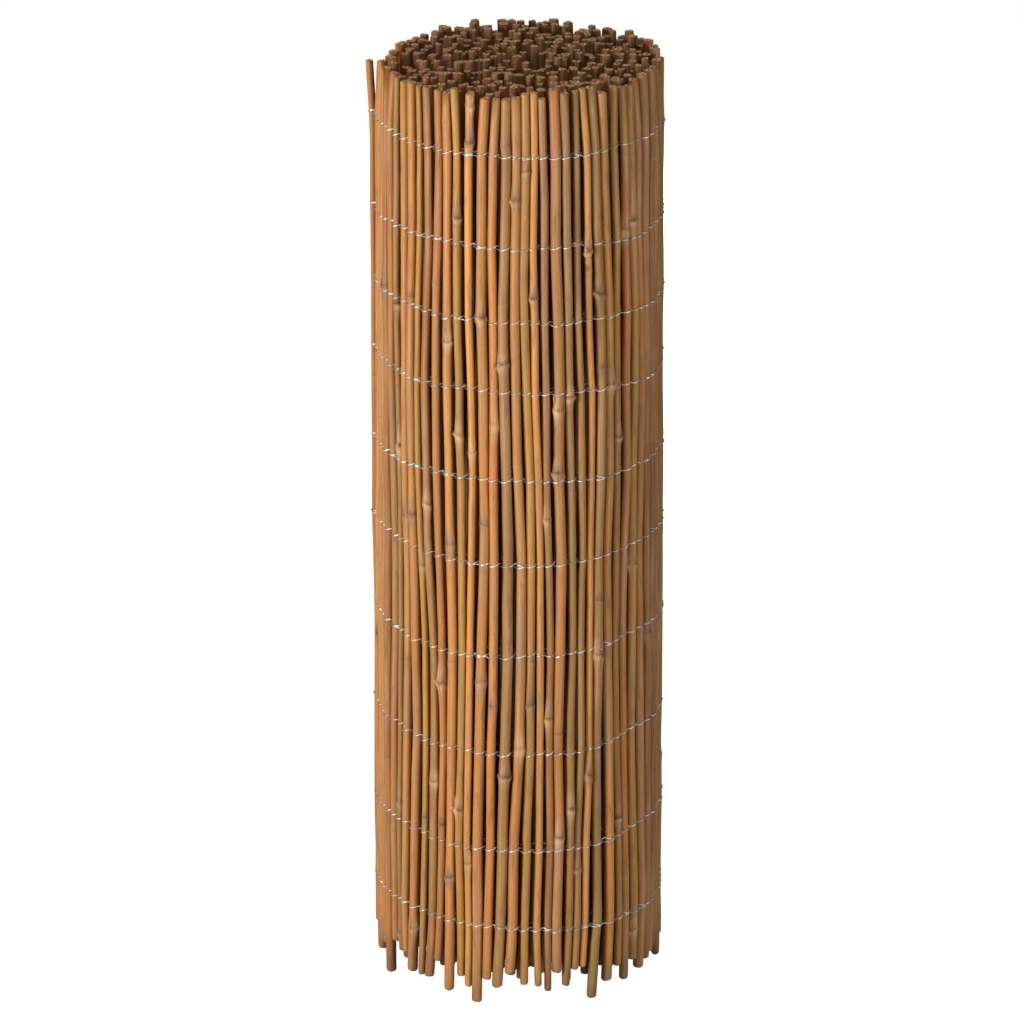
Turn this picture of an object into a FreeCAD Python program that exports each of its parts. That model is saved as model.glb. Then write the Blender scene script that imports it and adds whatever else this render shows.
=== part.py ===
import FreeCAD, Part
import math
import os
import random

# A roll of bamboo cane fencing, standing on the ends of its canes.
# Thin canes lie side by side and are held by rows of galvanised wire. The mat is
# wound into a spiral: its inner end is at the core, its free edge is outside on the
# left, and the outer turn runs from that edge across the front.
# Millimetres, +Z up, front towards -Y, origin under the middle of the roll.

# Canes
CANE_LENGTH = 1000.0
CANE_DIAMETER = 9.6
DIAMETER_SPREAD = 1.9
CANE_TAPER = 0.7
TOP_STAGGER_OUTER = 5.0
TOP_STAGGER_INNER = 11.0
BOTTOM_STAGGER = 16.0
INNER_LIFT = 8.0
CANE_SIDES = 6
# Canes are thicker at the butt, and the roll with them: size at the foot for 1 at the top
FOOT_SCALE = 1.035

# Neighbouring canes are tight at one end and wider apart at the other
TIGHT_GAP = (0.3, 0.4)
WIDE_GAP = (0.5, 4.2)
LEAN_LIMIT = 16.0
RADIAL_PLAY = 0.25

# Winding: the turns that a mat of about 5 m makes
TURNS = 9.2
CORE_RADIUS = 21.4
TURN_CLEARANCE = 1.2
UNEVENNESS = 0.45
EDGE_ANGLE = math.radians(181.0)

# Free edge: the last cane is a thin one that springs outward at the top
EDGE_DIAMETER = 8.2
EDGE_TOP_GAP = 1.5
EDGE_SPRING = 5.0

# Wire rows: even spacing between the two margins, and how far each row is off it
TOP_MARGIN = 66.0
BOTTOM_MARGIN = 67.0
ROW_OFFSETS = (0.0, -2.0, 13.0, 32.0, 30.0, 36.0, 30.0, 14.0, -2.0, 0.0)
WIRE_THICKNESS = 0.9
WIRE_CLEARANCE = 0.3
WIRE_SPANS = 28

# The roll stands on its longest canes, spread evenly round the outer turn
STANDING_CANES = 7
STANDING_DROP = 25.0

SEED = 4127

FULL_TURN = 2.0 * math.pi
UP = FreeCAD.Vector(0, 0, 1)
# Corner radius, per unit of round radius, of the polygon with the circle's area
CORNER = math.sqrt(FULL_TURN / (CANE_SIDES * math.sin(FULL_TURN / CANE_SIDES)))
THICKEST_END = (CANE_DIAMETER + DIAMETER_SPREAD + CANE_TAPER / 2) * CORNER
TURN_PITCH = THICKEST_END + TURN_CLEARANCE


def spiral_radius(winding):
    """Distance from the axis to the middle of the mat at a winding angle."""
    waves = math.sin(1.37 * winding) + math.sin(2.61 * winding + 1.0)
    return CORE_RADIUS + TURN_PITCH * winding / FULL_TURN + UNEVENNESS * waves


def spiral_point(winding, outward=0.0):
    """Point of the spiral in plan, which winds outwards clockwise seen from above."""
    radius = spiral_radius(winding) + outward
    return FreeCAD.Vector(radius * math.cos(winding), -radius * math.sin(winding), 0)


def step_along(winding, distance):
    """Winding angle of the next point that lies the given distance away."""
    start = spiral_point(winding)
    low = winding
    high = winding + math.pi / 2
    while high - low > 1e-7:
        middle = (low + high) / 2
        if start.distanceToPoint(spiral_point(middle)) < distance:
            low = middle
        else:
            high = middle
    return high


class CaneEnd:
    """Place and thickness of a cane where it crosses one end of the mat."""

    def __init__(self, radius, play):
        self.corner = radius * CORNER
        self.play = play
        self.winding = 0.0
        self.laid = 0.0

    def follow(self, last, gap):
        """Lay this end beside the same end of the last cane."""
        reach = last.corner + self.corner
        half_step = reach / spiral_radius(last.winding) / 2
        pitch = reach * math.cos(half_step) + gap
        self.winding = step_along(last.winding, pitch)
        self.laid = last.laid + pitch

    def point(self):
        return spiral_point(self.winding, self.play)


class Cane:
    """One straight tapered cane, leaning between its two ends."""

    def __init__(self, draw):
        diameter = CANE_DIAMETER + draw.uniform(-DIAMETER_SPREAD, DIAMETER_SPREAD)
        taper = CANE_TAPER / 2 * draw.choice((-1, 1))
        self.bottom = CaneEnd((diameter - taper) / 2, draw.uniform(-RADIAL_PLAY, RADIAL_PLAY))
        self.top = CaneEnd((diameter + taper) / 2, draw.uniform(-RADIAL_PLAY, RADIAL_PLAY))
        self.low = 0.0
        self.high = CANE_LENGTH

    def winding(self):
        return (self.bottom.winding + self.top.winding) / 2

    def centre(self, height):
        """Middle of the cane at a height above the mean lower end."""
        low = self.bottom.point() * FOOT_SCALE
        point = low + (self.top.point() - low) * (height / CANE_LENGTH)
        return FreeCAD.Vector(point.x, point.y, height)

    def corner(self, height):
        """Distance from the middle to the corners of the cane's section."""
        low = self.bottom.corner * FOOT_SCALE
        return low + (self.top.corner - low) * height / CANE_LENGTH

    def section(self, height):
        """Polygon across the cane, with a corner towards each neighbour."""
        middle = self.centre(height)
        corner = self.corner(height)
        first = math.pi / 2 - self.winding()
        points = []
        for i in range(CANE_SIDES + 1):
            angle = first + FULL_TURN * i / CANE_SIDES
            points.append(middle + FreeCAD.Vector(math.cos(angle), math.sin(angle), 0) * corner)
        return Part.makePolygon(points)

    def solid(self):
        return Part.makeLoft([self.section(self.low), self.section(self.high)], True, True)


def wind_mat():
    """Lay the canes along the spiral, from the core to the free edge."""
    draw = random.Random(SEED)
    canes = [Cane(draw)]
    while canes[-1].winding() < TURNS * FULL_TURN:
        last = canes[-1]
        cane = Cane(draw)
        gap_bottom = draw.uniform(*TIGHT_GAP)
        gap_top = draw.uniform(*WIDE_GAP)
        lean = last.top.laid - last.bottom.laid
        if draw.uniform(-LEAN_LIMIT, LEAN_LIMIT) < lean:
            gap_bottom, gap_top = gap_top, gap_bottom
        cane.bottom.follow(last.bottom, gap_bottom)
        cane.top.follow(last.top, gap_top)
        canes.append(cane)
    return canes


def free_edge(canes):
    """Let the last cane stand off at the top, where no neighbour holds it."""
    edge = canes[-1]
    edge.bottom.corner = edge.top.corner = EDGE_DIAMETER / 2 * CORNER
    edge.bottom.follow(canes[-2].bottom, TIGHT_GAP[0])
    edge.top.follow(canes[-2].top, EDGE_TOP_GAP)
    edge.bottom.play = canes[-2].bottom.play
    edge.top.play = EDGE_SPRING


def turn_of(cane, edge):
    """Number of a cane's turn, counted inwards from the free edge."""
    return int((edge.winding() - cane.winding()) / FULL_TURN) + 1


def shares(count, draw):
    """Values spread evenly from -1 to 1, in random order."""
    values = [2 * i / (count - 1) - 1 for i in range(count)]
    draw.shuffle(values)
    return values


def cut_ends(turn, inner, draw):
    """Ragged ends for the canes of one turn, as long canes and short ones come mixed."""
    lift = INNER_LIFT if inner else 0.0
    top_stagger = TOP_STAGGER_INNER if inner else TOP_STAGGER_OUTER
    for cane, low, high in zip(turn, shares(len(turn), draw), shares(len(turn), draw)):
        cane.low = lift + BOTTOM_STAGGER * low
        cane.high = CANE_LENGTH + top_stagger * high


def stand_on_longest(outer):
    """Give a few spread canes of the outer turn the same, lowest end."""
    for i in range(STANDING_CANES):
        outer[int((i + 0.5) * len(outer) / STANDING_CANES)].low = -STANDING_DROP


class Span:
    """Straight stretch of a wire in plan: a line square to a direction."""

    def __init__(self, angle, distance, thickness=WIRE_THICKNESS):
        self.angle = angle
        self.distance = distance
        self.thickness = thickness

    def meet(self, other, outside):
        """Corner with the next stretch, on the wire's inner or outer side."""
        a = self.distance + self.thickness * outside
        b = other.distance + other.thickness * outside
        turn = math.sin(other.angle - self.angle)
        x = (a * math.sin(other.angle) - b * math.sin(self.angle)) / turn
        y = (b * math.cos(self.angle) - a * math.cos(other.angle)) / turn
        return FreeCAD.Vector(x, y, 0)


def measure(cane, height, angle):
    """How far out a cane's middle lies in a direction."""
    middle = cane.centre(height)
    return middle.x * math.cos(angle) + middle.y * math.sin(angle)


def span_over(canes, height, angle):
    """Stretch of wire that just clears the canes beneath it."""
    reach = max(measure(cane, height, angle) + cane.corner(height) for cane in canes)
    return Span(angle, reach + WIRE_CLEARANCE)


def wire_row(outer, height):
    """One wire, drawn tight over the outer turn and hooked round the last cane."""
    first, edge = outer[0], outer[-1]
    step = (edge.winding() - first.winding()) / WIRE_SPANS
    spans = []
    for i in range(WIRE_SPANS):
        middle = first.winding() + (i + 0.5) * step
        under = [cane for cane in outer if abs(cane.winding() - middle) < step]
        spans.append(span_over(under, height, -middle))
    start_angle = math.pi / 2 - first.winding()
    start = Span(start_angle, measure(first, height, start_angle), 0.0)
    hook = span_over([edge], height, -math.pi / 2 - edge.winding())
    end = Span(-math.pi - edge.winding(), measure(edge, height, -math.pi - edge.winding()), 0.0)
    chain = [start] + spans + [hook, end]
    inner = [a.meet(b, 0) for a, b in zip(chain, chain[1:])]
    outer_side = [a.meet(b, 1) for a, b in zip(chain, chain[1:])]
    outline = inner + outer_side[::-1] + inner[:1]
    band = Part.Face(Part.makePolygon(outline)).extrude(UP * WIRE_THICKNESS)
    band.translate(UP * (height - WIRE_THICKNESS / 2))
    return band


def row_heights():
    """Heights of the wire rows above the mean lower end, from the top down."""
    top = CANE_LENGTH - TOP_MARGIN
    spacing = (top - BOTTOM_MARGIN) / (len(ROW_OFFSETS) - 1)
    return [top - i * spacing + offset for i, offset in enumerate(ROW_OFFSETS)]


def build_roll():
    """All nodes of the roll, with the angle of the free edge as wound."""
    canes = wind_mat()
    free_edge(canes)
    edge = canes[-1]
    turns = {}
    for cane in canes:
        turns.setdefault(turn_of(cane, edge), []).append(cane)
    draw = random.Random(SEED + 1)
    for number, turn in sorted(turns.items()):
        cut_ends(turn, number > 1, draw)
    stand_on_longest(turns[1])
    nodes = {"edge_cane": edge.solid()}
    for number, turn in turns.items():
        solids = [cane.solid() for cane in turn if cane is not edge]
        nodes["canes_turn_%02d" % number] = Part.makeCompound(solids)
    for i, height in enumerate(row_heights()):
        nodes["wire_row_%02d" % (i + 1)] = wire_row(turns[1], height)
    return nodes, -edge.winding()


def place(nodes, wound_angle):
    """Turn the free edge to its side and put the origin under the middle."""
    for shape in nodes.values():
        shape.rotate(FreeCAD.Vector(0, 0, 0), UP, math.degrees(EDGE_ANGLE - wound_angle))
    box = Part.makeCompound(list(nodes.values())).BoundBox
    for shape in nodes.values():
        shape.translate(FreeCAD.Vector(-box.Center.x, -box.Center.y, -box.ZMin))


nodes, wound_angle = build_roll()
place(nodes, wound_angle)
os.makedirs("parts", exist_ok=True)
for name, shape in nodes.items():
    shape.exportStep("parts/%s.step" % name)
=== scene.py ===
import math
import random
from collections import namedtuple

import bmesh
import bpy
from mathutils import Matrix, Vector


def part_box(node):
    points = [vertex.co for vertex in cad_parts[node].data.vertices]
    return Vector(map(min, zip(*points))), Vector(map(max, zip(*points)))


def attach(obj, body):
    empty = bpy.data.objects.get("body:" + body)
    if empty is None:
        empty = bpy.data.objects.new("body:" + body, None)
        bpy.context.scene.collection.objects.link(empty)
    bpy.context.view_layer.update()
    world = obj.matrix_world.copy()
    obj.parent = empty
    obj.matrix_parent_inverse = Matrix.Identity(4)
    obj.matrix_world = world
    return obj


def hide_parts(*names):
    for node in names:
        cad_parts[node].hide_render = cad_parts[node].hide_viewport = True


# A roll of bamboo cane fencing. Every cane of the frame is grown again as a bamboo
# stalk with joints, bends and cut ends, and every wire row becomes a twisted pair.
# Metres, +Z up, front towards -Y.

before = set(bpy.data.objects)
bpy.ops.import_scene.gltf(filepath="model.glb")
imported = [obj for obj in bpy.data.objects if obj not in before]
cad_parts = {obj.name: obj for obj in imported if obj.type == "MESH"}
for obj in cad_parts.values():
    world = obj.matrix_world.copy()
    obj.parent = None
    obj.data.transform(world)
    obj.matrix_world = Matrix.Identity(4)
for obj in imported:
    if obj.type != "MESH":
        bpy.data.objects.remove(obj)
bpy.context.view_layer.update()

MM = 0.001
UP = Vector((0, 0, 1))
FULL_TURN = 2 * math.pi
dice = random.Random(20)

# The frame draws a cane as a polygon that has the area of the true, round section
FRAME_SIDES = 6
FRAME_CORNER = math.sqrt(FULL_TURN / (FRAME_SIDES * math.sin(FULL_TURN / FRAME_SIDES)))
TURNS = 10
ROWS = 10
# Height of the roll's middle
MIDDLE_HEIGHT = 0.5
# Distances under which points are one: corners in the frame, and a new stalk's seam
SAME_CORNER = 0.01 * MM
SAME_SEAM = 0.001 * MM

# View, as in the photograph
PHOTO_SIZE_PX = 1024
VIEW_ELEVATION = math.radians(20.05)
VIEW_DISTANCE = 6.0
VIEW_SCALE_PX_PER_M = 923.7
VIEW_AIM = Vector((-0.0066, 0.0, 0.5163))
SENSOR_MM = 36.0
CLIP_END = 100.0

# Sides of a stalk by turn, from the outside in
OUTER_SIDES = 12
SECOND_SIDES = 8
INNER_SIDES = 7
# Turns that show from the side: their stalks sway and have joints
DETAILED_TURNS = 2

# Order of the canes along the mat: what a step off the mat costs, for 1 along it
OFF_MAT_COST = 3

# Sway: stalks lean and crowd together along the mat, more at the free ends. Groups follow
# slow waves and quick ones, and each stalk leans and turns a little by itself
TOP_LEVEL = 1.03
PAST_TOP = 10 * MM
ROW_LEVELS = [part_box("wire_row_%02d" % row)[0][2] for row in range(ROWS, 0, -1)]
SWAY_LEVELS = [0.0] + ROW_LEVELS + [TOP_LEVEL]
SWAY_GROUP = 5.4 * MM
SWAY_ALONE = 3.2 * MM
SWAY_ENDS = 2.0
SWAY_WAVES = 4
SWAY_SMOOTHING = 4
QUICK_WAVE = 0.6
LEAN_ALONE = 2.0
RESTLESS_ALONE = 0.5
SWAY_PASSES = 40
SWAY_FROM_EDGE = 7
# Gaps between swayed stalks, and how far they stand in or out
TIGHTEST = 0.1 * MM
WIDEST = 4.6 * MM
WIDEST_AT_ENDS = 8.0 * MM
IN_AND_OUT = (-1.4 * MM, 1.2 * MM)
TOPS_IN_AND_OUT = (-3.2 * MM, 1.6 * MM)

# Kinks at the joints
KINK = 1.0 * MM

# Rings between the joints, and how far rings stay from each other and from the ends
RING_SPACING = 32 * MM
RING_CLEARANCE = RING_SPACING / 3
UNEVEN_GIRTH = 0.03
PLAIN_RING_BELOW_TOP = 8 * MM
JOINT_RING_ABOVE_FOOT = 5 * MM
JOINT_RING_BELOW_TOP = 2 * MM

# Above the top row the edge cane stands off outwards and its neighbours lean inwards
LOOSE_FROM = 958 * MM
LOOSE_TOPS_MM = (3.4, -3.0, -3.2, -2.6, -2.0, -1.2)

# Joints along a stalk, clear of its ends and of worn places
JOINT_SPACING = (150 * MM, 400 * MM)
LOWEST_JOINT = 20 * MM
JOINT_BELOW_TOP = 16 * MM
JOINT_CLEARANCE = 60 * MM
# A joint swells more or less than its kind, leans, and is drawn out where it is worn
SWELL_SPREAD = (0.8, 1.2)
WORN_SWELL = 0.2
WORN_STRETCH = (1.1, 2.0)
JOINT_TILT = 0.4
# Swelling and paleness on the side away from the bud, and lumps round a joint
SWELL_ALL_ROUND = 0.3
PALE_ALL_ROUND = 0.35
LUMP_SIZE = 0.3
LUMPS_ROUND = 3
# How far a bud is turned from the viewer, in radians
BUD_TURN = 1.3
# Rings of a joint: offset in millimetres, share of the swelling, darkness and paleness
JOINT_SHAPE = (
    (-13.0, 0.0, 0.0, 0.0),
    (-6.0, 0.2, 0.25, 0.4),
    (-2.4, 0.7, 0.3, 0.9),
    (-0.8, 1.0, 0.6, 0.7),
    (0.5, 0.9, 1.0, 0.2),
    (1.6, 0.5, 0.7, 0.5),
    (5.0, 0.3, 0.4, 0.5),
    (13.0, 0.0, 0.0, 0.0),
)

# What grows at a worn place: length and radius in millimetres, share of the radius at the
# tip, sides, lean from upright in radians, and whether it is round
Growth = namedtuple("Growth", "length radius tip sides lean smooth")
STUB = Growth((5, 8), (1.9, 2.6), 0.7, 8, (0.8, 1.3), True)
SLIVER = Growth((10, 20), (0.8, 1.3), 0.1, 5, (0.08, 0.22), False)
GROWTH_TURN = 0.5
GROWTH_SUNK = 0.85
GROWTH_RAISED = 0.45
GROWTH_MARKS = (0.25, 0.75, 0, 0)
GROWTH_GRAIN = 0.1

# Looks of a joint or a worn place: swelling, darkness, paleness, bloom and what grows there
JOINT_KINDS = {
    "faint": (0.02, 0.15, 0.1, 0.0, []),
    "plain": (0.08, 0.4, 0.25, 0.2, []),
    "ring": (0.12, 1.0, 0.3, 0.3, []),
    "knot": (0.55, 1.0, 0.9, 0.5, []),
    "pale": (0.42, 0.6, 1.4, 0.4, []),
    "plum": (0.34, 1.0, 0.6, 1.0, []),
    "stub": (0.6, 0.9, 1.3, 0.4, [STUB, SLIVER, SLIVER]),
    "peel": (0.3, 0.7, 1.5, 0.3, [SLIVER] * 2),
    "split": (0.3, 1.0, 1.3, 0.3, [SLIVER] * 4),
    # A hole is only painted: near-black painted shade on a swelling, with no opening cut
    "hole": (0.4, 1.6, 0.4, 0.4, []),
}
USUAL_KINDS = ["faint"] * 14 + ["plain"] * 5 + ["ring", "knot", "pale", "plum"]

# Joints and wear that stand out in the photograph: distance to the right of the axis and
# height, both in millimetres, and kind
WEAR = (
    (-55, 1012, "peel"),
    (-49, 974, "knot"),
    (-83, 971, "plain"),
    (10, 944, "plum"),
    (-7, 913, "knot"),
    (122, 876, "stub"),
    (112, 867, "pale"),
    (68, 853, "stub"),
    (67, 833, "ring"),
    (18, 807, "knot"),
    (81, 804, "knot"),
    (-34, 785, "knot"),
    (-129, 777, "knot"),
    (-69, 754, "pale"),
    (-18, 734, "stub"),
    (91, 701, "stub"),
    (57, 694, "stub"),
    (45, 683, "peel"),
    (-59, 652, "pale"),
    (106, 644, "knot"),
    (-48, 636, "peel"),
    (-127, 621, "stub"),
    (43, 613, "knot"),
    (-96, 567, "pale"),
    (33, 562, "pale"),
    (-35, 556, "ring"),
    (-75, 531, "plum"),
    (-102, 495, "peel"),
    (123, 492, "stub"),
    (133, 403, "knot"),
    (14, 401, "ring"),
    (89, 401, "knot"),
    (-150, 384, "hole"),
    (-85, 368, "stub"),
    (4, 353, "plum"),
    (-22, 349, "ring"),
    (32, 334, "pale"),
    (-9, 270, "knot"),
    (-96, 253, "pale"),
    (56, 229, "split"),
    (-65, 225, "stub"),
    (103, 204, "knot"),
    (41, 197, "split"),
    (-51, 163, "peel"),
    (70, 158, "knot"),
    (-75, 145, "plum"),
    (-109, 70, "pale"),
    (121, 63, "pale"),
)

# Cut ends: rings by their distance from the end in millimetres and share of the girth
FOOT_PROFILE = ((0.0, 0.55), (0.5, 0.8), (1.6, 0.96), (3.5, 1.0))
TOP_PROFILE = ((-1.2, 1.0), (-0.3, 0.95), (0.0, 0.86))
END_TILT = math.tan(math.radians(15))
TILTED_TOP_RINGS = 2
# Bore and cut face, as shares of the cane's radius
BORE_SHARE = (0.12, 0.32)
CUT_SHARE = 0.76
BORE_DEPTH = 5 * MM
CUT_PALENESS = 1.6

# Wire: a row wanders from cane to cane, and its strokes rise across them
WIRE_RADIUS = 0.62 * MM
ROW_WOBBLE = 1.3 * MM
WANDER_KEPT = 0.7
STROKE_RISE = 1.9 * MM
STROKE_SLOPES = (0.6, 1.3)
DOUBLED_STROKES = 0.12
DOUBLED_RISE = 0.5
# Cut end of a strand round the edge cane: angles in degrees, reach for 1 at the wire's
# radius, rise at the start and with each step, then its tip onwards, inwards and upwards
TAIL_STEPS = 4
TAIL_START = -100
TAIL_TURN = -45
TAIL_REACH = 1.2
TAIL_RISE_MM = (1.2, 0.16)
TAIL_TIP_MM = (1.5, 2.0, 2.0)
# How far each row runs above or below its level, from the left side over the front to the right
ROW_DRIFT_ANGLES = (-78, -55, -32, 0, 32, 55, 78)
ROW_DRIFT = (
    (7, 3, 1, -2, 0, 2, 0),
    (5, 4, 2, 0, -1, -4, 0),
    (6, 5, 1, 0, -2, -3, -4),
    (6, 3, 2, 1, -3, -5, -6),
    (4, 4, 1, 1, -3, -1, 0),
    (4, 1, -2, -3, -1, 5, 2),
    (8, 1, -4, -2, -3, 6, 2),
    (7, 1, -3, -4, -4, 4, 3),
    (6, 4, -3, -4, -6, 2, 4),
    (6, 3, 2, -2, -6, -6, -5),
)

# Light: the world as it lights and as it is mirrored, then the floor
AMBIENT = 0.07
MIRRORED = 0.04
FLOOR_GLOW = 0.9
FLOOR_WHITE = (0.86, 0.86, 0.86, 1)
FLOOR_HALF = 30
WHITE = (1, 1, 1, 1)
SOFT_BOX_HEIGHT = 1.5
SOFT_BOXES = (
    # name, degrees to the right of the view, height, distance, width, watts
    ("key_light", -48.0, 0.95, 2.6, 0.8, 74.0),
    ("fill_light", 40.0, 0.9, 3.2, 1.0, 41.0),
    ("top_light", 0.0, 2.9, 0.5, 1.0, 11.0),
    ("back_light", 180.0, 0.9, 3.2, 1.4, 36.0),
)

# The lamps pale the skin a little, so each tone keeps this share of its red, green and blue
WARMTH = (1.0, 0.84, 0.62)


def srgb(text):
    """Linear tone of the skin for a hexadecimal screen colour."""
    parts = [int(text[i : i + 2], 16) / 255 for i in (0, 2, 4)]
    linear = [c / 12.92 if c <= 0.04045 else ((c + 0.055) / 1.055) ** 2.4 for c in parts]
    return Vector([c * share for c, share in zip(linear, WARMTH)])


TONES = {
    "straw": srgb("d69c55"),
    "honey": srgb("d0954d"),
    "amber": srgb("c08144"),
    "tan": srgb("c38a4d"),
    "rust": srgb("a56c39"),
    "olive": srgb("ab853b"),
    "moss": srgb("8a7034"),
    "grey": srgb("987745"),
    "brown": srgb("96622f"),
    "plum": srgb("946547"),
}
# Lightness of a cane and of its stretches, and how far a stretch drifts to another tone
CANE_LIGHTNESS = (0.76, 1.1)
STRETCH_LIGHTNESS = (0.92, 1.08)
STRETCH_DRIFT = 0.22
# Painted shade in the creases between canes and inside the roll: what is left of the skin's red,
# green and blue
CREASE_SHADE_LEFT = (0.5, 0.3, 0.1)
INNER_SHADE_LEFT = (0.3, 0.19, 0.08)
# How far the skin faces outwards where it is unshaded and where the painted crease shade is
# darkest
CREASE_SHADE_FACING = (0.88, 0.05)
# Tops of the inner canes keep this share of their spread in height
INNER_TOP_SPREAD = 0.6
# Canes count as front ones up to a little behind the sides
FRONT_LIMIT = 0.05
TONE_HEIGHT = 0.6
USUAL_TONES = "tan amber olive rust brown straw moss honey grey amber tan honey".split()
# Tones of the canes in front, by their distance to the right of the axis in millimetres
FRONT_TONES = (
    (-146, "tan"),
    (-137, "rust"),
    (-128, "moss"),
    (-120, "honey"),
    (-112, "tan"),
    (-104, "olive"),
    (-96, "rust"),
    (-87, "amber"),
    (-79, "moss"),
    (-70, "tan"),
    (-61, "olive"),
    (-51, "honey"),
    (-41, "tan"),
    (-31, "amber"),
    (-18, "grey"),
    (-6, "tan"),
    (6, "olive"),
    (18, "straw"),
    (32, "brown"),
    (44, "amber"),
    (57, "grey"),
    (70, "honey"),
    (82, "moss"),
    (95, "honey"),
    (106, "olive"),
    (115, "rust"),
    (122, "olive"),
    (130, "amber"),
    (138, "plum"),
    (143, "brown"),
    (150, "moss"),
)

# Noises on the skin: cells across a cane and along a metre of it, shift, detail, roughness
NOISES = {
    "fibres": (4.5, 12.0, 0.0, 3.0, 0.55),
    "streaks": (1.5, 5.0, 5.0, 4.0, 0.55),
    "blotches": (0.9, 30.0, 11.0, 5.0, 0.65),
    "patches": (0.4, 7.0, 17.0, 3.0, 0.55),
    "specks": (2.2, 120.0, 23.0, 4.0, 0.7),
    "greenish": (0.3, 4.0, 29.0, 2.0, 0.55),
    "pinkish": (0.3, 5.0, 37.0, 2.0, 0.55),
}
# Shift of the noises from cane to cane, across and along
SEED_SHIFT = (37.0, 91.0)
# Stains of the skin: noise, where it starts and where it is full, strength, linear colour
STAINS = (
    ("greenish", 0.5, 0.64, 0.4, (0.29, 0.19, 0.055)),
    ("pinkish", 0.52, 0.66, 0.45, (0.42, 0.21, 0.11)),
    ("streaks", 0.42, 0.66, 0.5, (0.26, 0.12, 0.04)),
    ("fibres", 0.45, 0.7, 0.24, (0.66, 0.37, 0.13)),
    ("blotches", 0.52, 0.7, 0.5, (0.15, 0.07, 0.025)),
    ("patches", 0.56, 0.68, 0.45, (0.26, 0.16, 0.075)),
    ("specks", 0.66, 0.76, 0.4, (0.09, 0.04, 0.018)),
)
# Stains and painted shade of the marks: strength and linear colour
MARK_STAINS = {
    "bloom": (0.7, (0.17, 0.10, 0.075)),
    "pale": (0.85, (0.70, 0.42, 0.20)),
    "soil": (0.6, (0.12, 0.065, 0.03)),
    # Darker towards the feet
    "scar": (0.85, (0.08, 0.032, 0.015)),
    # Near-black painted shade for bore floors and holes
    "hole": (1.0, (0.015, 0.008, 0.004)),
}
# Where blotches and fibres break up the marks, and what is left of a scar between them
SMUDGED = (0.3, 0.6)
FRAYED = (0.25, 0.55)
BROKEN = (0.38, 0.58)
SCAR_LEFT = 0.35
# Height up to which the feet are darker
FOOT_DARKENING = 70 * MM
# Roughness of clean skin, and what blotches and pale wood add to it
SKIN_ROUGHNESS = 0.34
BLOTCH_ROUGHNESS = 0.3
PALE_ROUGHNESS = 0.15
SKIN_SHINE = 0.36
# Relief of the skin, and the noises' shares in it
RELIEF_HEIGHT = 0.6 * MM
RELIEF_STRENGTH = 0.4
FIBRE_RELIEF = 0.5
BLOTCH_RELIEF = 0.35
SPECK_RELIEF = 0.15

# Zinc: linear colours, size and detail of its patches, where they start and are full
ZINC_BRIGHT = (0.80, 0.80, 0.80, 1)
ZINC_DULL = (0.30, 0.29, 0.27)
ZINC_CELLS = 160.0
ZINC_DETAIL = 3.0
ZINC_PATCHES = (0.4, 0.65)
ZINC_ROUGHNESS = (0.28, 0.25)
ZINC_METALLIC = 0.85


class Joint:
    """A joint or worn place of a stalk."""

    def __init__(self, height, kind, bud):
        self.height = height
        self.swell, self.dark, self.pale, self.bloom, self.growths = JOINT_KINDS[kind]
        self.swell *= dice.uniform(*SWELL_SPREAD)
        self.bud = bud
        self.stretch = dice.uniform(*WORN_STRETCH) if self.swell > WORN_SWELL else 1.0
        self.tilt = dice.uniform(-JOINT_TILT, JOINT_TILT)
        self.lumps = dice.uniform(0, FULL_TURN)


class Ring:
    """One ring of points round a stalk."""

    def __init__(self, height, gain=1.0, joint=None, shape=(0.0, 0.0, 0.0)):
        self.height = height
        self.gain = gain
        self.joint = joint
        self.shape = shape

    def swelling(self, around):
        """Thickness here for 1 on the plain stalk: more on the side of the bud."""
        if not self.joint:
            return self.gain
        side = SWELL_ALL_ROUND + max(0.0, math.cos(around - self.joint.bud))
        lump = LUMP_SIZE * math.sin(LUMPS_ROUND * around + self.joint.lumps + self.height / MM)
        return self.gain * (1 + self.joint.swell * self.shape[0] * (side + lump))

    def slant(self, around):
        """How far the ring rises here, for each unit of radius."""
        if not self.joint:
            return 0.0
        return self.joint.tilt * math.cos(around - self.joint.lumps)

    def marks(self, around):
        """Darkness, paleness, depth of a hole's painted shade, and bloom."""
        if not self.joint:
            return (0, 0, 0, 0)
        facing = max(0.0, math.cos(around - self.joint.bud))
        dark = self.joint.dark * self.shape[1]
        pale = self.joint.pale * self.shape[2] * (PALE_ALL_ROUND + (1 - PALE_ALL_ROUND) * facing)
        bloom = self.joint.bloom * (self.shape[2] > 0)
        return (min(dark, 1), min(pale, 1), max(0, dark - 1), bloom)


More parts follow.
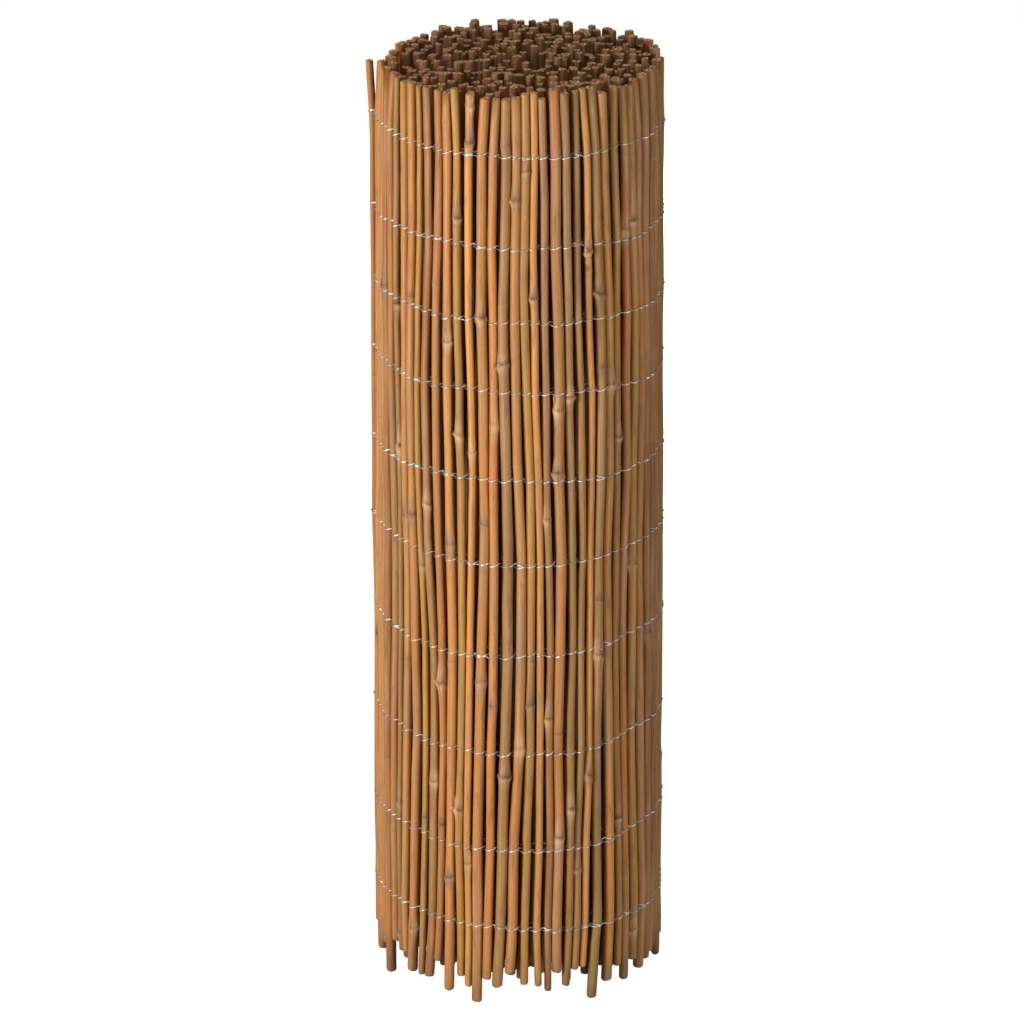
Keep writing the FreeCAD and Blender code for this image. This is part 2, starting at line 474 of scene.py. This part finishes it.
class Stalk:
    """One cane: its two ends as the frame has them, and what it grows between them."""

    def __init__(self, points, turn):
        middle_height = (min(p.z for p in points) + max(p.z for p in points)) / 2
        low = [p for p in points if p.z < middle_height]
        high = [p for p in points if p.z >= middle_height]
        self.turn = turn
        self.low = sum(low, Vector()) / len(low)
        self.high = sum(high, Vector()) / len(high)
        self.low_radius = sum((p - self.low).length for p in low) / len(low) / FRAME_CORNER
        self.high_radius = sum((p - self.high).length for p in high) / len(high) / FRAME_CORNER
        self.joints = []
        self.bends = []
        self.tone = dice.choice(USUAL_TONES)

    def share(self, height):
        """Share of the cane that lies below a height."""
        return (height - self.low.z) / (self.high.z - self.low.z)

    def radius(self, height):
        """Radius of the plain stalk."""
        return self.low_radius + (self.high_radius - self.low_radius) * self.share(height)

    def straight(self, height):
        """Middle of the cane without its bends."""
        return self.low.lerp(self.high, self.share(height))

    def outward(self):
        """Level direction from the roll's axis to the cane."""
        middle = self.straight(MIDDLE_HEIGHT) - axis
        return Vector((middle.x, middle.y, 0)).normalized()

    def centre(self, height):
        """Middle of the cane with its bends."""
        point = self.straight(height)
        for (z_a, shift_a), (z_b, shift_b) in zip(self.bends, self.bends[1:]):
            if z_a <= height <= z_b:
                return point + shift_a.lerp(shift_b, (height - z_a) / (z_b - z_a))
        return point

    def front_angle(self):
        """Direction round the cane that faces the viewer, a little off at random."""
        return -math.pi / 2 + dice.uniform(-BUD_TURN, BUD_TURN)

    def grow_joints(self):
        """Joints all along, except beside the worn places that are there."""
        height = self.low.z + dice.uniform(LOWEST_JOINT, JOINT_SPACING[1])
        while height < self.high.z - JOINT_BELOW_TOP:
            if all(abs(height - joint.height) > JOINT_CLEARANCE for joint in self.joints):
                kind = dice.choice(USUAL_KINDS)
                self.joints.append(Joint(height, kind, dice.uniform(0, FULL_TURN)))
            height += dice.uniform(*JOINT_SPACING)
        self.joints.sort(key=lambda joint: joint.height)

    def bend(self, sways):
        """Follow the sways of all levels, with a small kink at every joint."""
        out = self.outward()
        onward = UP.cross(out)
        for height, (aside, outside) in zip(SWAY_LEVELS, sways):
            self.bends.append((height, onward * aside + out * outside))
        self.bends.append((self.high.z + PAST_TOP, self.bends[-1][1]))
        kinks = []
        for joint in self.joints:
            shift = self.centre(joint.height) - self.straight(joint.height)
            kinks.append((joint.height, shift + onward * dice.uniform(-KINK, KINK)))
        self.bends = sorted(self.bends + kinks, key=lambda bend: bend[0])

    def loosen(self, outside):
        """Lean in or out above the top row, where nothing holds the cane."""
        self.bends = [bend for bend in self.bends if bend[0] < LOOSE_FROM]
        self.bends.append((LOOSE_FROM, Vector()))
        self.bends.append((self.high.z, self.outward() * outside))

    def rings(self, detailed):
        """All rings, from the lower end to the upper end."""
        low, high = self.low.z, self.high.z
        rings = [Ring(low + offset * MM, gain) for offset, gain in FOOT_PROFILE]
        if detailed:
            for joint in self.joints:
                for offset, *shape in JOINT_SHAPE:
                    height = joint.height + offset * joint.stretch * MM
                    if low + JOINT_RING_ABOVE_FOOT < height < high - JOINT_RING_BELOW_TOP:
                        rings.append(Ring(height, 1.0, joint, shape))
            height = low + RING_SPACING
            while height < high - PLAIN_RING_BELOW_TOP:
                if all(abs(height - ring.height) > RING_CLEARANCE for ring in rings):
                    rings.append(Ring(height, 1 + dice.uniform(-UNEVEN_GIRTH, UNEVEN_GIRTH)))
                height += RING_SPACING
        rings += [Ring(high + offset * MM, gain) for offset, gain in TOP_PROFILE]
        rings.sort(key=lambda ring: ring.height)
        return rings


def islands(mesh):
    """Points of each separate solid of a frame mesh."""
    bm = bmesh.new()
    bm.from_mesh(mesh)
    bmesh.ops.remove_doubles(bm, verts=bm.verts, dist=SAME_CORNER)
    unseen = set(bm.verts)
    groups = []
    for seed in list(bm.verts):
        if seed not in unseen:
            continue
        unseen.remove(seed)
        waiting = [seed]
        group = []
        while waiting:
            vert = waiting.pop()
            group.append(vert.co.copy())
            for edge in vert.link_edges:
                other = edge.other_vert(vert)
                if other in unseen:
                    unseen.remove(other)
                    waiting.append(other)
        groups.append(group)
    bm.free()
    return groups


def along_mat(first, others):
    """All canes in their order along the mat, from its free edge to the core."""
    ordered = [first]
    waiting = [(stalk, stalk.straight(MIDDLE_HEIGHT)) for stalk in others]
    here = first.straight(MIDDLE_HEIGHT)
    while waiting:
        out = ordered[-1].outward()
        onward = UP.cross(out)
        costs = []
        for i, (stalk, middle) in enumerate(waiting):
            ahead = (middle - here).dot(onward)
            if ahead > 0:
                costs.append((ahead + OFF_MAT_COST * abs((middle - here).dot(out)), i))
        following, here = waiting.pop(min(costs)[1])
        ordered.append(following)
    return ordered


edge_stalk = Stalk(islands(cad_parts["edge_cane"].data)[0], 0)
stalks = []
for turn in range(1, TURNS + 1):
    turn_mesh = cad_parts["canes_turn_%02d" % turn].data
    stalks += [Stalk(points, turn) for points in islands(turn_mesh)]
axis = sum((stalk.low + stalk.high for stalk in stalks), Vector()) / (2 * len(stalks))
axis.z = 0
stalks = along_mat(edge_stalk, stalks)
inner_tops = [stalk.high.z for stalk in stalks if stalk.turn > 1]
mean_top = sum(inner_tops) / len(inner_tops)
for stalk in stalks:
    if stalk.turn > 1:
        top = mean_top + (stalk.high.z - mean_top) * INNER_TOP_SPREAD
        stalk.high = stalk.straight(top)
outer_stalks = [stalk for stalk in stalks if stalk.turn <= 1]
front_stalks = [stalk for stalk in outer_stalks if stalk.outward().y < FRONT_LIMIT]


def nearest_in_front(x, height):
    """Front cane that passes a place at the given height."""
    return min(front_stalks, key=lambda stalk: abs(stalk.straight(height).x - x))


for stalk in front_stalks:
    place_x = stalk.straight(TONE_HEIGHT).x / MM
    stalk.tone = min(FRONT_TONES, key=lambda entry: abs(entry[0] - place_x))[1]
for place_x, place_z, kind in WEAR:
    worn = nearest_in_front(place_x * MM, place_z * MM)
    worn.joints.append(Joint(place_z * MM, kind, worn.front_angle()))


def noise_line(count, smoothing):
    """Random values of about -1 to 1 that change slowly."""
    values = [dice.uniform(-1, 1) for _ in range(count)]
    for _ in range(smoothing):
        before, after = values[-1:] + values, values[1:] + values[:1]
        values = [(a + 2 * b + c) / 4 for a, b, c in zip(before, values, after)]
    largest = max(abs(value) for value in values)
    return [value / largest for value in values]


def sway_level(members, height, wishes, end):
    """Sideways and outward shifts at one height, with no cane inside another."""
    reach = TOPS_IN_AND_OUT if end else IN_AND_OUT
    widest = WIDEST_AT_ENDS if end else WIDEST
    asides = list(wishes)
    outsides = [dice.uniform(*reach) for _ in members]
    places = [stalk.straight(height) for stalk in members]
    for _ in range(SWAY_PASSES):
        for i in range(len(members) - 1):
            apart = (places[i + 1] - places[i]).length + asides[i + 1] - asides[i]
            touch = members[i].radius(height) + members[i + 1].radius(height) + TIGHTEST
            least = math.sqrt(touch**2 - (outsides[i + 1] - outsides[i]) ** 2)
            move = max(0.0, least - apart) - max(0.0, apart - touch - widest)
            asides[i] -= move / 2
            asides[i + 1] += move / 2
        asides[0] = 0.0
    return list(zip(asides, outsides))


def sway_all(members):
    """Shifts of all canes at all levels: in groups by slow waves, and each by itself."""
    count = len(members)
    waves = [noise_line(count, SWAY_SMOOTHING) for _ in range(SWAY_WAVES)]
    leans = [dice.uniform(-1, 1) for _ in members]
    levels = []
    for level, height in enumerate(SWAY_LEVELS):
        end = level in (0, len(SWAY_LEVELS) - 1)
        phase = FULL_TURN * level / len(SWAY_LEVELS)
        slow = [math.cos(phase), math.sin(phase)]
        quick = [QUICK_WAVE * math.cos(2 * phase), QUICK_WAVE * math.sin(2 * phase)]
        wishes = []
        for i in range(count):
            group = sum(share * wave[i] for share, wave in zip(slow + quick, waves))
            lean = leans[i] * LEAN_ALONE * (height - MIDDLE_HEIGHT)
            alone = lean + RESTLESS_ALONE * dice.uniform(-1, 1)
            wish = SWAY_GROUP * group + SWAY_ALONE * alone
            wishes.append(wish * (SWAY_ENDS if end else 1.0) * min(1.0, i / SWAY_FROM_EDGE))
        levels.append(sway_level(members, height, wishes, end))
    return list(zip(*levels))


swaying = [stalk for stalk in stalks if stalk.turn <= DETAILED_TURNS]
for stalk, sways in zip(swaying, sway_all(swaying)):
    stalk.grow_joints()
    stalk.bend(sways)
for stalk, outside in zip(stalks, LOOSE_TOPS_MM):
    stalk.loosen(outside * MM)


# Layers of a stalk's mesh: place in the grain, tone of the skin with its painted shade, and
# marks of the joints
Layers = namedtuple("Layers", "uv tone marks")


def shape_stalk(stalk, rings, bm, layers):
    """Give a flat grid the form of a stalk, with its marks and its place in the grain."""
    tilts = [Vector((dice.uniform(-1, 1), dice.uniform(-1, 1))) * END_TILT for _ in range(2)]
    twist = dice.uniform(0, FULL_TURN)
    placed = {}
    for vert in bm.verts:
        row = round((vert.co.y + 0.5) * (len(rings) - 1))
        around = twist + (vert.co.x + 0.5) * FULL_TURN
        ring = rings[row]
        radius = stalk.radius(ring.height) * ring.swelling(around)
        arm = Vector((math.cos(around), math.sin(around), 0)) * radius
        rise = radius * ring.slant(around)
        if row < len(FOOT_PROFILE):
            rise = abs(arm.xy.dot(tilts[0])) * (1 - row / len(FOOT_PROFILE))
        elif row >= len(rings) - TILTED_TOP_RINGS:
            rise = -abs(arm.xy.dot(tilts[1]))
        vert.co = stalk.centre(ring.height) + arm + UP * rise
        placed[vert] = (ring.height, ring.marks(around))
    for face in bm.faces:
        face.smooth = True
        for loop in face.loops:
            height, values = placed[loop.vert]
            loop[layers.uv].uv.y = height
            loop[layers.marks] = values


def close_ends(stalk, sides, bm, layers):
    """Cut faces with a narrow bore at both ends. Returns the cut faces."""
    bmesh.ops.remove_doubles(bm, verts=bm.verts, dist=SAME_SEAM)
    rims = [edge for edge in bm.edges if edge.is_boundary]
    caps = bmesh.ops.holes_fill(bm, edges=rims, sides=sides)["faces"]
    wall = stalk.radius(stalk.high.z) * (CUT_SHARE - dice.uniform(*BORE_SHARE))
    cut_faces = bmesh.ops.inset_individual(bm, faces=caps, thickness=wall)["faces"]
    middle_height = (stalk.low.z + stalk.high.z) / 2
    for cap in caps:
        floor = bmesh.ops.extrude_discrete_faces(bm, faces=[cap])["faces"][0]
        inward = -1 if floor.calc_center_median().z > middle_height else 1
        bmesh.ops.translate(bm, verts=floor.verts, vec=UP * inward * BORE_DEPTH)
        floor.smooth = False
        # The bore floor gets near-black painted shade
        for loop in floor.loops:
            loop[layers.marks] = (0, 0, 1, 0)
    for face in cut_faces:
        face.smooth = False
    return set(cut_faces)


def add_growths(stalk, bm, layers):
    """Branch stubs and lifted slivers at the worn places."""
    for joint in stalk.joints:
        for growth in joint.growths:
            length = dice.uniform(*growth.length) * MM
            base = dice.uniform(*growth.radius) * MM
            made = bmesh.ops.create_cone(
                bm,
                cap_ends=True,
                segments=growth.sides,
                radius1=base,
                radius2=base * growth.tip,
                depth=length,
            )["verts"]
            around = joint.bud + dice.uniform(-GROWTH_TURN, GROWTH_TURN)
            out = Vector((math.cos(around), math.sin(around), 0))
            aim = (UP + out * math.tan(dice.uniform(*growth.lean))).normalized()
            turn = UP.rotation_difference(aim).to_matrix()
            foot = stalk.centre(joint.height) + out * stalk.radius(joint.height) * GROWTH_SUNK
            for vert in made:
                vert.co = foot + turn @ (vert.co + UP * length * GROWTH_RAISED)
            for face in {face for vert in made for face in vert.link_faces}:
                face.smooth = growth.smooth
                for loop in face.loops:
                    loop[layers.uv].uv = (GROWTH_GRAIN, joint.height)
                    loop[layers.marks] = GROWTH_MARKS


def left_of(colour, shares):
    """What is left of a colour's red, green and blue."""
    return Vector([c * share for c, share in zip(colour, shares)])


def crease_shaded(base, facing):
    """Tone of the skin with painted shade, darker where it faces the next cane instead of
    outwards.
    """
    unshaded, darkest = CREASE_SHADE_FACING
    depth = (unshaded - facing) / (unshaded - darkest)
    return base.lerp(left_of(base, CREASE_SHADE_LEFT), min(1.0, max(0.0, depth)))


def stretch_tones(stalk):
    """Tone of every stretch between two joints, from the foot up."""
    lightness = dice.uniform(*CANE_LIGHTNESS)
    tones = []
    for _ in range(len(stalk.joints) + 1):
        other = TONES[dice.choice(USUAL_TONES)]
        tone = TONES[stalk.tone].lerp(other, dice.uniform(0, STRETCH_DRIFT))
        tones.append(tone * lightness * dice.uniform(*STRETCH_LIGHTNESS))
    return tones


def paint(stalk, bm, layers, cut_faces):
    """Tone of the skin on every face, with painted shade in the creases and on the inner canes,
    the cane's seed, and pale cut faces.
    """
    seed = dice.random()
    tones = stretch_tones(stalk)
    out = stalk.outward()
    for face in bm.faces:
        height = face.calc_center_median().z
        base = tones[sum(1 for joint in stalk.joints if height > joint.height)]
        for loop in face.loops:
            shade = base
            if face in cut_faces:
                loop[layers.marks] = (0, CUT_PALENESS, 0, 0)
            # Inner canes: painted shade over all their skin, standing in for the shade inside
            # the roll
            elif stalk.turn > 1:
                shade = left_of(base, INNER_SHADE_LEFT)
            else:
                # Outer canes: painted shade where the skin turns towards its neighbours
                arm = loop.vert.co - stalk.centre(loop.vert.co.z)
                shade = crease_shaded(base, Vector((arm.x, arm.y, 0)).normalized().dot(out))
            loop[layers.tone] = (*shade, seed)


def grow(stalk, sides, detailed):
    """A closed bamboo stalk as its own small mesh."""
    rings = stalk.rings(detailed)
    bm = bmesh.new()
    layers = Layers(
        bm.loops.layers.uv.new("UVMap"),
        bm.loops.layers.float_color.new("tone"),
        bm.loops.layers.float_color.new("marks"),
    )
    bmesh.ops.create_grid(
        bm, x_segments=sides, y_segments=len(rings) - 1, size=0.5, calc_uvs=True
    )
    shape_stalk(stalk, rings, bm, layers)
    cut_faces = close_ends(stalk, sides, bm, layers)
    if detailed:
        add_growths(stalk, bm, layers)
    paint(stalk, bm, layers, cut_faces)
    bmesh.ops.recalc_face_normals(bm, faces=bm.faces)
    return bm


def add_piece(name, mesh, material, node):
    """An object for a finished mesh, in the place of a node of the frame."""
    mesh.materials.clear()
    mesh.materials.append(material)
    piece = bpy.data.objects.new(name, mesh)
    bpy.context.collection.objects.link(piece)
    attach(piece, "root")
    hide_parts(node)


def add_canes(name, members, sides, detailed, node):
    """All given canes as one object."""
    joined = bmesh.new()
    scrap = bpy.data.meshes.new("scrap")
    for stalk in members:
        bm = grow(stalk, sides, detailed)
        bm.to_mesh(scrap)
        bm.free()
        joined.from_mesh(scrap)
    mesh = bpy.data.meshes.new(name)
    joined.to_mesh(mesh)
    joined.free()
    bpy.data.meshes.remove(scrap)
    add_piece(name, mesh, bamboo, node)


class Socket:
    """A shader socket that can be used in expressions."""

    def __init__(self, tree, link=None):
        self.tree = tree
        self.link = link

    def make(self, kind, settings, inputs, output=0):
        """A new node: its settings, then the values or links of its sockets."""
        made = self.tree.nodes.new(kind)
        for key, value in settings.items():
            setattr(made, key, value)
        pairs = inputs.items() if isinstance(inputs, dict) else enumerate(inputs)
        for key, value in pairs:
            if isinstance(value, Socket):
                self.tree.links.new(value.link, made.inputs[key])
            else:
                made.inputs[key].default_value = value
        return Socket(self.tree, made.outputs[output]) if made.outputs else None

    def also(self, output):
        """Another output of the same node."""
        return Socket(self.tree, self.link.node.outputs[output])

    def maths(self, operation, first, second=0.0):
        """Result of a node that works on one or two values."""
        return self.make("ShaderNodeMath", {"operation": operation}, [first, second])

    def __add__(self, other):
        return self.maths("ADD", self, other)

    def __radd__(self, other):
        return self.maths("ADD", other, self)

    def __mul__(self, other):
        return self.maths("MULTIPLY", self, other)

    def __rmul__(self, other):
        return self.maths("MULTIPLY", other, self)

    def __rsub__(self, other):
        return self.maths("SUBTRACT", other, self)

    def band(self, low, high):
        """0 below the low value, 1 above the high one, smooth between."""
        settings = {"interpolation_type": "SMOOTHSTEP"}
        return self.make("ShaderNodeMapRange", settings, [self, low, high, 0.0, 1.0])

    def tint(self, share, colour):
        """This colour, moved towards another one."""
        inputs = {0: share, 6: self, 7: colour if isinstance(colour, Socket) else (*colour, 1)}
        return self.make("ShaderNodeMix", {"data_type": "RGBA"}, inputs, 2)


def new_material(name):
    """An empty material, and a socket to build its nodes with."""
    material = bpy.data.materials.new(name)
    material.use_nodes = True
    material.node_tree.nodes.clear()
    return material, Socket(material.node_tree)


def bamboo_material():
    """Dry bamboo skin: streaks along the cane, blotches, dark joints, pale cut ends, and
    near-black painted shade in bores and holes.
    """
    material, sketch = new_material("bamboo")
    tone = sketch.make("ShaderNodeAttribute", {"attribute_name": "tone"}, [])
    seed = tone.also("Alpha")
    marks = sketch.make("ShaderNodeAttribute", {"attribute_name": "marks"}, [])
    bloom_mark = marks.also("Alpha")
    dark_mark = sketch.make("ShaderNodeSeparateColor", {}, [marks])
    pale_mark = dark_mark.also(1)
    hole_shade_mark = dark_mark.also(2)
    place = sketch.make("ShaderNodeUVMap", {"uv_map": "UVMap"}, [])
    around = sketch.make("ShaderNodeSeparateXYZ", {}, [place])
    along = around.also(1)
    ring_x = sketch.maths("COSINE", around * FULL_TURN)
    ring_y = sketch.maths("SINE", around * FULL_TURN)

    def noise(across, lengthwise, shift, detail, roughness):
        """Noise on the skin of the cane, other on every cane."""
        x = ring_x * across + seed * SEED_SHIFT[0]
        y = ring_y * across + shift
        z = along * lengthwise + seed * SEED_SHIFT[1]
        vector = sketch.make("ShaderNodeCombineXYZ", {}, [x, y, z])
        inputs = {"Vector": vector, "Scale": 1.0, "Detail": detail, "Roughness": roughness}
        return sketch.make("ShaderNodeTexNoise", {}, inputs)

    noises = {name: noise(*values) for name, values in NOISES.items()}
    fibres = noises["fibres"]
    blotches = noises["blotches"]

    colour = tone
    for name, start, full, strength, stain in STAINS:
        colour = colour.tint(noises[name].band(start, full) * strength, stain)
    smudged = blotches.band(*SMUDGED)
    broken = SCAR_LEFT + (1 - SCAR_LEFT) * blotches.band(*BROKEN)
    masks = {
        "bloom": bloom_mark * smudged,
        "pale": pale_mark * fibres.band(*FRAYED),
        # darker towards the feet, broken up by blotches
        "soil": (1 - along.band(0.0, FOOT_DARKENING)) * smudged,
        "scar": dark_mark * broken,
        # near-black painted shade of bores and holes
        "hole": hole_shade_mark,
    }
    for name, (strength, stain) in MARK_STAINS.items():
        colour = colour.tint(masks[name] * strength, stain)

    relief = fibres * FIBRE_RELIEF + blotches * BLOTCH_RELIEF + noises["specks"] * SPECK_RELIEF
    bump_inputs = {"Strength": RELIEF_STRENGTH, "Distance": RELIEF_HEIGHT, "Height": relief}
    skin_inputs = {
        "Base Color": colour,
        "Roughness": SKIN_ROUGHNESS + BLOTCH_ROUGHNESS * blotches + PALE_ROUGHNESS * pale_mark,
        "Normal": sketch.make("ShaderNodeBump", {}, bump_inputs),
        "Specular IOR Level": SKIN_SHINE,
    }
    skin = sketch.make("ShaderNodeBsdfPrincipled", {}, skin_inputs)
    sketch.make("ShaderNodeOutputMaterial", {}, [skin])
    return material


def wire_material():
    """Galvanised wire: dull grey zinc with darker patches."""
    material, sketch = new_material("galvanised_wire")
    place = sketch.make("ShaderNodeTexCoord", {}, [], "Object")
    zinc_inputs = {"Vector": place, "Scale": ZINC_CELLS, "Detail": ZINC_DETAIL}
    zinc = sketch.make("ShaderNodeTexNoise", {}, zinc_inputs)
    bright = sketch.make("ShaderNodeRGB", {}, [])
    bright.link.default_value = ZINC_BRIGHT
    colour = bright.tint(zinc.band(*ZINC_PATCHES), ZINC_DULL)
    roughness = ZINC_ROUGHNESS[0] + ZINC_ROUGHNESS[1] * zinc
    inputs = {"Base Color": colour, "Roughness": roughness, "Metallic": ZINC_METALLIC}
    metal = sketch.make("ShaderNodeBsdfPrincipled", {}, inputs)
    sketch.make("ShaderNodeOutputMaterial", {}, [metal])
    return material


bamboo = bamboo_material()
zinc_wire = wire_material()


def row_drift(row, stalk):
    """How far a row has slipped along a cane."""
    out = stalk.outward()
    angle = math.degrees(math.atan2(out.x, -out.y))
    drifts = ROW_DRIFT[row - 1]
    if abs(angle) >= ROW_DRIFT_ANGLES[-1]:
        end = drifts[-1] if angle > 0 else drifts[0]
        return end * MM * (180 - abs(angle)) / (180 - ROW_DRIFT_ANGLES[-1])
    for i in range(len(drifts) - 1):
        a, b = ROW_DRIFT_ANGLES[i : i + 2]
        if a <= angle <= b:
            return (drifts[i] + (drifts[i + 1] - drifts[i]) * (angle - a) / (b - a)) * MM
    return 0.0


class WireRow:
    """Two strands, each in front of every other cane and behind the rest."""

    # Points of a pass: degrees round the cane from its outer side, and rise
    FRONT = ((-82, -0.9), (-42, -0.7), (0, -0.1), (42, 0.45), (80, 0.95))
    BACK = ((-108, 0.95), (180, 0.3), (108, -0.95))
    INNER_FRONT = ((-45, -0.6), (45, 0.6))
    INNER_BACK = ((-135, 0.5), (135, -0.5))

    def __init__(self, row):
        low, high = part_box("wire_row_%02d" % row)
        height = (low[2] + high[2]) / 2
        self.levels = []
        wander = 0.0
        for stalk in stalks:
            wander = WANDER_KEPT * wander + dice.uniform(-1, 1) * ROW_WOBBLE
            drift = row_drift(row, stalk) if stalk.turn <= 1 else 0.0
            self.levels.append(height + wander + drift)
        self.doubled = [dice.random() < DOUBLED_STROKES for _ in stalks]
        self.slopes = [dice.uniform(*STROKE_SLOPES) for _ in stalks]

    def passes(self, i, lead):
        """Points of a strand that passes a cane."""
        front = (i + lead) % 2 == 0
        if stalks[i].turn > 1:
            return self.INNER_FRONT if front else self.INNER_BACK
        if front:
            return self.FRONT
        if self.doubled[i]:
            return [(angle, DOUBLED_RISE - rise) for angle, rise in self.FRONT]
        return self.BACK

    def strand(self, lead):
        """Path of one strand through all canes, from the free edge to the core."""
        points = []
        for i, stalk in enumerate(stalks):
            out = stalk.outward()
            onward = UP.cross(out)
            middle = stalk.centre(self.levels[i])
            reach = stalk.radius(self.levels[i]) + WIRE_RADIUS
            for degrees, rise in self.passes(i, lead):
                angle = math.radians(degrees)
                arm = out * math.cos(angle) + onward * math.sin(angle)
                points.append(middle + arm * reach + UP * STROKE_RISE * self.slopes[i] * rise)
        return points

    def tail(self, side):
        """Cut end of a strand, wrapped round the edge cane, ending with its tip."""
        out = edge_stalk.outward()
        onward = UP.cross(out)
        middle = edge_stalk.centre(self.levels[0])
        reach = edge_stalk.radius(self.levels[0]) + WIRE_RADIUS * TAIL_REACH
        first_rise, step_rise = TAIL_RISE_MM
        points = []
        for step in range(TAIL_STEPS):
            angle = math.radians(TAIL_START + TAIL_TURN * step)
            arm = out * math.cos(angle) + onward * math.sin(angle)
            rise = side * (first_rise + step_rise * step) * MM
            points.append(middle + arm * reach + UP * rise)
        tip_onward, tip_inward, tip_upward = TAIL_TIP_MM
        tip = onward * tip_onward - out * tip_inward + UP * side * tip_upward
        points.append(points[-1] + tip * MM)
        return points

    def paths(self):
        """Both strands with their cut ends, one wound over the other."""
        return [self.tail(side)[::-1] + self.strand(lead) for lead, side in ((0, -1), (1, 1))]


def add_wire(name, paths, node):
    """Round wire along each path, as one object."""
    curve = bpy.data.curves.new(name, "CURVE")
    curve.dimensions = "3D"
    curve.bevel_depth = WIRE_RADIUS
    curve.bevel_resolution = 1
    curve.use_fill_caps = True
    for path in paths:
        spline = curve.splines.new("POLY")
        spline.points.add(len(path) - 1)
        for point, place in zip(spline.points, path):
            point.co = (*place, 1)
    drawn = bpy.data.objects.new(name + "_path", curve)
    mesh = bpy.data.meshes.new_from_object(drawn)
    bpy.data.objects.remove(drawn)
    bpy.data.curves.remove(curve)
    mesh.name = name
    for face in mesh.polygons:
        face.use_smooth = True
    add_piece(name, mesh, zinc_wire, node)


for turn in range(1, TURNS + 1):
    members = [stalk for stalk in stalks if stalk.turn == turn]
    sides = {1: OUTER_SIDES, 2: SECOND_SIDES}.get(turn, INNER_SIDES)
    detailed = turn <= DETAILED_TURNS
    add_canes("bamboo_turn_%02d" % turn, members, sides, detailed, "canes_turn_%02d" % turn)
add_canes("bamboo_edge_cane", [edge_stalk], OUTER_SIDES, True, "edge_cane")
for row in range(1, ROWS + 1):
    add_wire("twisted_wire_row_%02d" % row, WireRow(row).paths(), "wire_row_%02d" % row)


def add_floor():
    """White floor that keeps the shadow of the roll."""
    bm = bmesh.new()
    bmesh.ops.create_grid(bm, x_segments=1, y_segments=1, size=FLOOR_HALF)
    mesh = bpy.data.meshes.new("floor")
    bm.to_mesh(mesh)
    bm.free()
    floor = bpy.data.objects.new("floor", mesh)
    bpy.context.collection.objects.link(floor)
    material, sketch = new_material("white_floor")
    rays = sketch.make("ShaderNodeLightPath", {}, [])
    white = sketch.make("ShaderNodeBsdfDiffuse", {}, {"Color": FLOOR_WHITE})
    glow_inputs = {"Color": WHITE, "Strength": rays * FLOOR_GLOW}
    glow = sketch.make("ShaderNodeEmission", {}, glow_inputs)
    both = sketch.make("ShaderNodeAddShader", {}, [white, glow])
    sketch.make("ShaderNodeOutputMaterial", {}, [both])
    mesh.materials.append(material)


def add_world():
    """Low even light, and white where it is seen or mirrored."""
    world = bpy.data.worlds.new("studio")
    bpy.context.scene.world = world
    world.use_nodes = True
    world.node_tree.nodes.clear()
    sketch = Socket(world.node_tree)
    rays = sketch.make("ShaderNodeLightPath", {}, [])
    seen = rays + rays.also("Is Glossy Ray") * MIRRORED + rays.also("Is Transmission Ray")
    strength = AMBIENT + (1 - AMBIENT) * seen
    sky = sketch.make("ShaderNodeBackground", {}, {"Color": WHITE, "Strength": strength})
    sketch.make("ShaderNodeOutputWorld", {}, [sky])


def add_soft_boxes():
    """Lamps that stand round the roll and face its middle."""
    for name, azimuth, height, distance, width, watts in SOFT_BOXES:
        lamp = bpy.data.lights.new(name, "AREA")
        lamp.shape = "RECTANGLE"
        lamp.size = width
        lamp.size_y = SOFT_BOX_HEIGHT
        lamp.energy = watts
        box = bpy.data.objects.new(name, lamp)
        bpy.context.collection.objects.link(box)
        angle = math.radians(azimuth)
        box.location = (math.sin(angle) * distance, -math.cos(angle) * distance, height)
        aim = UP * MIDDLE_HEIGHT - box.location
        box.rotation_euler = aim.to_track_quat("-Z", "Y").to_euler()


def add_camera():
    """Camera that sees the roll as the photograph does."""
    camera = bpy.data.cameras.new("photo_camera")
    camera.sensor_width = SENSOR_MM
    camera.lens = VIEW_SCALE_PX_PER_M * VIEW_DISTANCE * SENSOR_MM / PHOTO_SIZE_PX
    camera.clip_end = CLIP_END
    eye = bpy.data.objects.new("photo_camera", camera)
    bpy.context.collection.objects.link(eye)
    back = Vector((0, -math.cos(VIEW_ELEVATION), math.sin(VIEW_ELEVATION)))
    eye.location = VIEW_AIM + back * VIEW_DISTANCE
    eye.rotation_euler = (-back).to_track_quat("-Z", "Y").to_euler()
    bpy.context.scene.camera = eye


add_floor()
add_world()
add_soft_boxes()
add_camera()
bpy.context.scene.view_settings.view_transform = "Standard"
